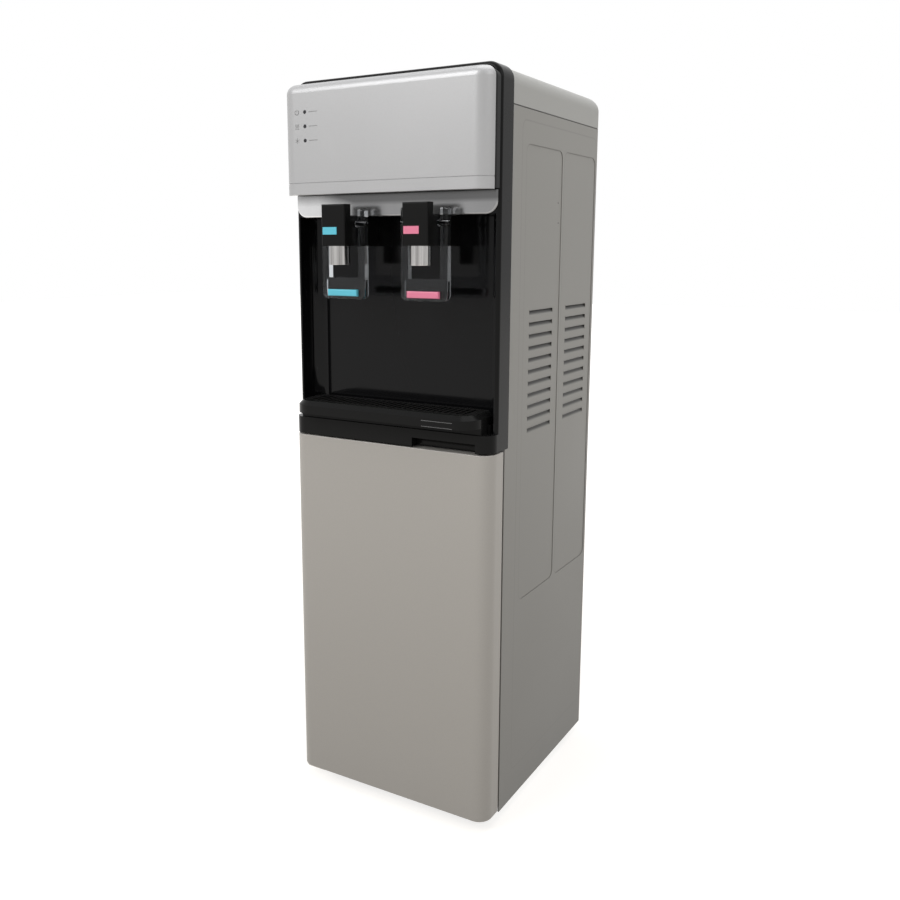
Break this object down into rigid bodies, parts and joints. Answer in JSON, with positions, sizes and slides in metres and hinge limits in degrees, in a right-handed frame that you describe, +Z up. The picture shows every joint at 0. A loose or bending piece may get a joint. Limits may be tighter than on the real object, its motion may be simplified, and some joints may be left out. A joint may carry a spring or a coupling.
{
  "type": "bottom load water cooler",
  "caption": "Free-standing bottom-load water cooler: door over a bottle bay, recess with cold and hot lever taps, lift-out drip tray, louvred steel sides and cooling machinery",
  "frame": {"origin": "On the floor, in the middle of the object's overall width and depth", "axes": "+Z up, +X to the right seen from the front, the front with the taps and the door faces -Y"},
  "size_m": [0.32, 0.3798, 1.033],
  "materials": {
    "steel_grey": "satin paint",
    "door_silver": "satin metallic paint",
    "galvanised": "plain zinc-coated sheet",
    "zinc": "bright zinc",
    "feet_black": "moulded",
    "floor_grey": "moulded",
    "cover_grey": "fine grain",
    "bezel_black": "moulded gloss",
    "splash_black": "high gloss",
    "panel_silver": "silver lacquer",
    "lamp": "clear tinted",
    "board_green": "solder mask",
    "chin_bright": "silver lacquer",
    "grille_black": "moulded",
    "spout_chrome": "polished",
    "liner_white": "moulded",
    "nylon": "moulded",
    "magnet": "magnetic strip",
    "compressor_black": "stove enamel",
    "rubber": "moulded",
    "foam": "expanded foam",
    "stainless": "brushed",
    "copper": "copper",
    "band_mica": "mica and steel",
    "pump_white": "moulded",
    "hose": "silicone",
    "box_grey": "moulded",
    "switch_black": "moulded",
    "rocker_blue": "moulded",
    "rocker_red": "moulded",
    "cyan": "moulded",
    "pink": "moulded",
    "clear": "clear"
  },
  "bodies": {
    "cabinet": {"back_panel": "galvanised", "back_screws": "zinc", "base_pan": "galvanised", "bottle_floor": "floor_grey", "chin_trim": "chin_bright", "cold_foam": "foam", "cold_stem_spring": "stainless", "cold_tank": "stainless", "cold_tap_badge": "cyan", "cold_tap_body": "bezel_black", "compressor": "compressor_black", "compressor_mounts": "rubber", "condenser": "compressor_black", "control_box": "box_grey", "control_panel": "panel_silver", "drain_spout": "nylon", "evaporator_coil": "copper", "filter_drier": "copper", "front_bezel": "bezel_black", "heater_band": "band_mica", "hinge_brackets": "galvanised", "hot_foam": "foam", "hot_stem_spring": "stainless", "hot_tank": "stainless", "hot_tap_badge": "pink", "hot_tap_body": "bezel_black", "indicator_board": "board_green", "indicator_lenses": "lamp", "left_side_panel": "steel_grey", "levelling_feet": "feet_black", "machine_deck": "galvanised", "power_gland": "rubber", "refrigerant_lines": "copper", "right_side_panel": "steel_grey", "splash_panel": "splash_black", "suction_probe": "nylon", "switch_frames": "switch_black", "tank_shelf": "galvanised", "tap_nozzles": "spout_chrome", "tap_nuts": "zinc", "tap_pins": "zinc", "top_cover": "cover_grey", "tray_housing": "bezel_black", "water_pipes": "hose", "water_pump": "pump_white"},
    "door": {"door_skin": "door_silver", "door_liner": "liner_white", "hinge_blocks": "nylon", "door_magnet": "magnet"},
    "cold_lever": {"cold_paddle": "clear", "cold_paddle_bar": "cyan"},
    "hot_lever": {"hot_paddle": "clear", "hot_paddle_bar": "pink"},
    "cold_stem": {"cold_valve_stem": "nylon"},
    "hot_stem": {"hot_valve_stem": "nylon"},
    "tray": {"drip_tray": "bezel_black"},
    "grille": {"drip_grille": "grille_black"},
    "cold_switch": {"cold_rocker": "rocker_blue"},
    "hot_switch": {"hot_rocker": "rocker_red"},
    "cap": {"drain_cap": "nylon"}
  },
  "joints": [
    {"name": "door_hinge", "type": "hinge", "parent": "cabinet", "child": "door", "pos_m": [-0.148, -0.1461, 0.28], "axis": [0, 0, -1], "range_deg": [0, 110]},
    {"name": "cold_paddle_hinge", "type": "hinge", "parent": "cabinet", "child": "cold_lever", "pos_m": [-0.0635, -0.1616, 0.839], "axis": [1, 0, 0], "range_deg": [0, 12], "stiffness_Nm_per_rad": 0.4, "springref_deg": -5.73},
    {"name": "cold_stem_slide", "type": "slide", "parent": "cabinet", "child": "cold_stem", "axis": [0, 0, 1], "range_m": [0, 0.003], "deforming": ["cold_stem_spring"]},
    {"name": "hot_paddle_hinge", "type": "hinge", "parent": "cabinet", "child": "hot_lever", "pos_m": [0.0635, -0.1616, 0.839], "axis": [1, 0, 0], "range_deg": [0, 12], "stiffness_Nm_per_rad": 0.4, "springref_deg": -5.73},
    {"name": "hot_stem_slide", "type": "slide", "parent": "cabinet", "child": "hot_stem", "axis": [0, 0, 1], "range_m": [0, 0.003], "deforming": ["hot_stem_spring"]},
    {"name": "drip_tray_slide", "type": "slide", "parent": "cabinet", "child": "tray", "axis": [0, -1, 0], "range_m": [0, 0.078]},
    {"name": "drip_grille_lift", "type": "slide", "parent": "tray", "child": "grille", "axis": [0, 0, 1], "range_m": [0, 0.03]},
    {"name": "cold_switch_rock", "type": "hinge", "parent": "cabinet", "child": "cold_switch", "pos_m": [-0.12, 0.1674, 0.819], "axis": [1, 0, 0], "range_deg": [-16, 0]},
    {"name": "hot_switch_rock", "type": "hinge", "parent": "cabinet", "child": "hot_switch", "pos_m": [-0.086, 0.1674, 0.819], "axis": [1, 0, 0], "range_deg": [-16, 0]},
    {"name": "drain_cap_pull", "type": "slide", "parent": "cabinet", "child": "cap", "axis": [0, 1, 0], "range_m": [0, 0.02]}
  ],
  "couplings": [
    {"joint": "cold_stem_slide", "follows": "cold_paddle_hinge", "m_per_rad": 0.0143},
    {"joint": "hot_stem_slide", "follows": "hot_paddle_hinge", "m_per_rad": 0.0143}
  ]
}
